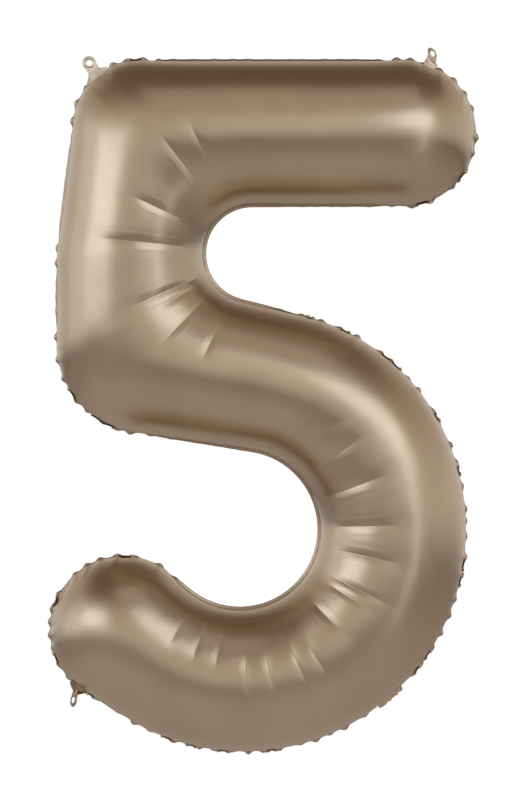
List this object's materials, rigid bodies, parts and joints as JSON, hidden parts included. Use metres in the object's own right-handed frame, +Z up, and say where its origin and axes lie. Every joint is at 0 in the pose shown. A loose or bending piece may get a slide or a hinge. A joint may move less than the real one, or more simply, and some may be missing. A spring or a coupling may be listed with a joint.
{
  "type": "foil number balloon",
  "caption": "Inflated foil balloon in the shape of the digit five, with a sealed seam, punched hang tabs, a folded inflation neck and a self-sealing valve.",
  "frame": {"origin": "middle of the whole balloon's width and depth, level with its lowest cut edge; the seam lies in the plane y = 0", "axes": "+Z up the digit, +X to the right as the digit is read from the front, +Y towards the back"},
  "size_m": [0.5358, 0.178, 0.8831],
  "materials": {
    "satin_metallised_film": "satin",
    "sealed_margin": "satin",
    "tab_film": "satin",
    "clear_polyethylene": "gloss"
  },
  "bodies": {
    "balloon": {"front_panel": "satin_metallised_film", "back_panel": "satin_metallised_film", "seam_flange": "sealed_margin"},
    "tab_top_left": {"hang_tab_top_left": "tab_film"},
    "tab_top_right": {"hang_tab_top_right": "tab_film"},
    "tab_bottom_left": {"hang_tab_bottom_left": "tab_film"},
    "neck": {"neck_front_film": "satin_metallised_film", "neck_back_film": "satin_metallised_film"},
    "valve_front_lip": {"valve_front_film": "clear_polyethylene"},
    "valve_back_lip": {"valve_back_film": "clear_polyethylene"}
  },
  "joints": [
    {"name": "tab_top_left_flex", "type": "hinge", "parent": "balloon", "child": "tab_top_left", "pos_m": [-0.20907, 0, 0.84893], "axis": [0.766, 0, 0.6428], "range_deg": [-75, 75], "stiffness_Nm_per_rad": 0.002},
    {"name": "tab_top_right_flex", "type": "hinge", "parent": "balloon", "child": "tab_top_right", "pos_m": [0.20991, 0, 0.86212], "axis": [0.9272, 0, -0.3746], "range_deg": [-50, 40], "stiffness_Nm_per_rad": 0.002},
    {"name": "tab_bottom_left_flex", "type": "hinge", "parent": "balloon", "child": "tab_bottom_left", "pos_m": [-0.23245, 0, 0.08135], "axis": [-0.788, 0, 0.6157], "range_deg": [-75, 60], "stiffness_Nm_per_rad": 0.002},
    {"name": "neck_fold", "type": "hinge", "parent": "balloon", "child": "neck", "pos_m": [0.16064, 0, 0.06763], "axis": [-0.7547, 0, -0.6561], "range_deg": [0, 110]},
    {"name": "valve_front_lip_flex", "type": "hinge", "parent": "balloon", "child": "valve_front_lip", "pos_m": [0.15625, -0.0005, 0.07268], "axis": [0.7547, 0, 0.6561], "range_deg": [0, 4], "stiffness_Nm_per_rad": 0.002},
    {"name": "valve_back_lip_flex", "type": "hinge", "parent": "balloon", "child": "valve_back_lip", "pos_m": [0.15625, 0.0005, 0.07268], "axis": [0.7547, 0, 0.6561], "range_deg": [-4, 0], "stiffness_Nm_per_rad": 0.002}
  ],
  "couplings": [
    {"joint": "valve_back_lip_flex", "follows": "valve_front_lip_flex", "ratio": -1}
  ]
}
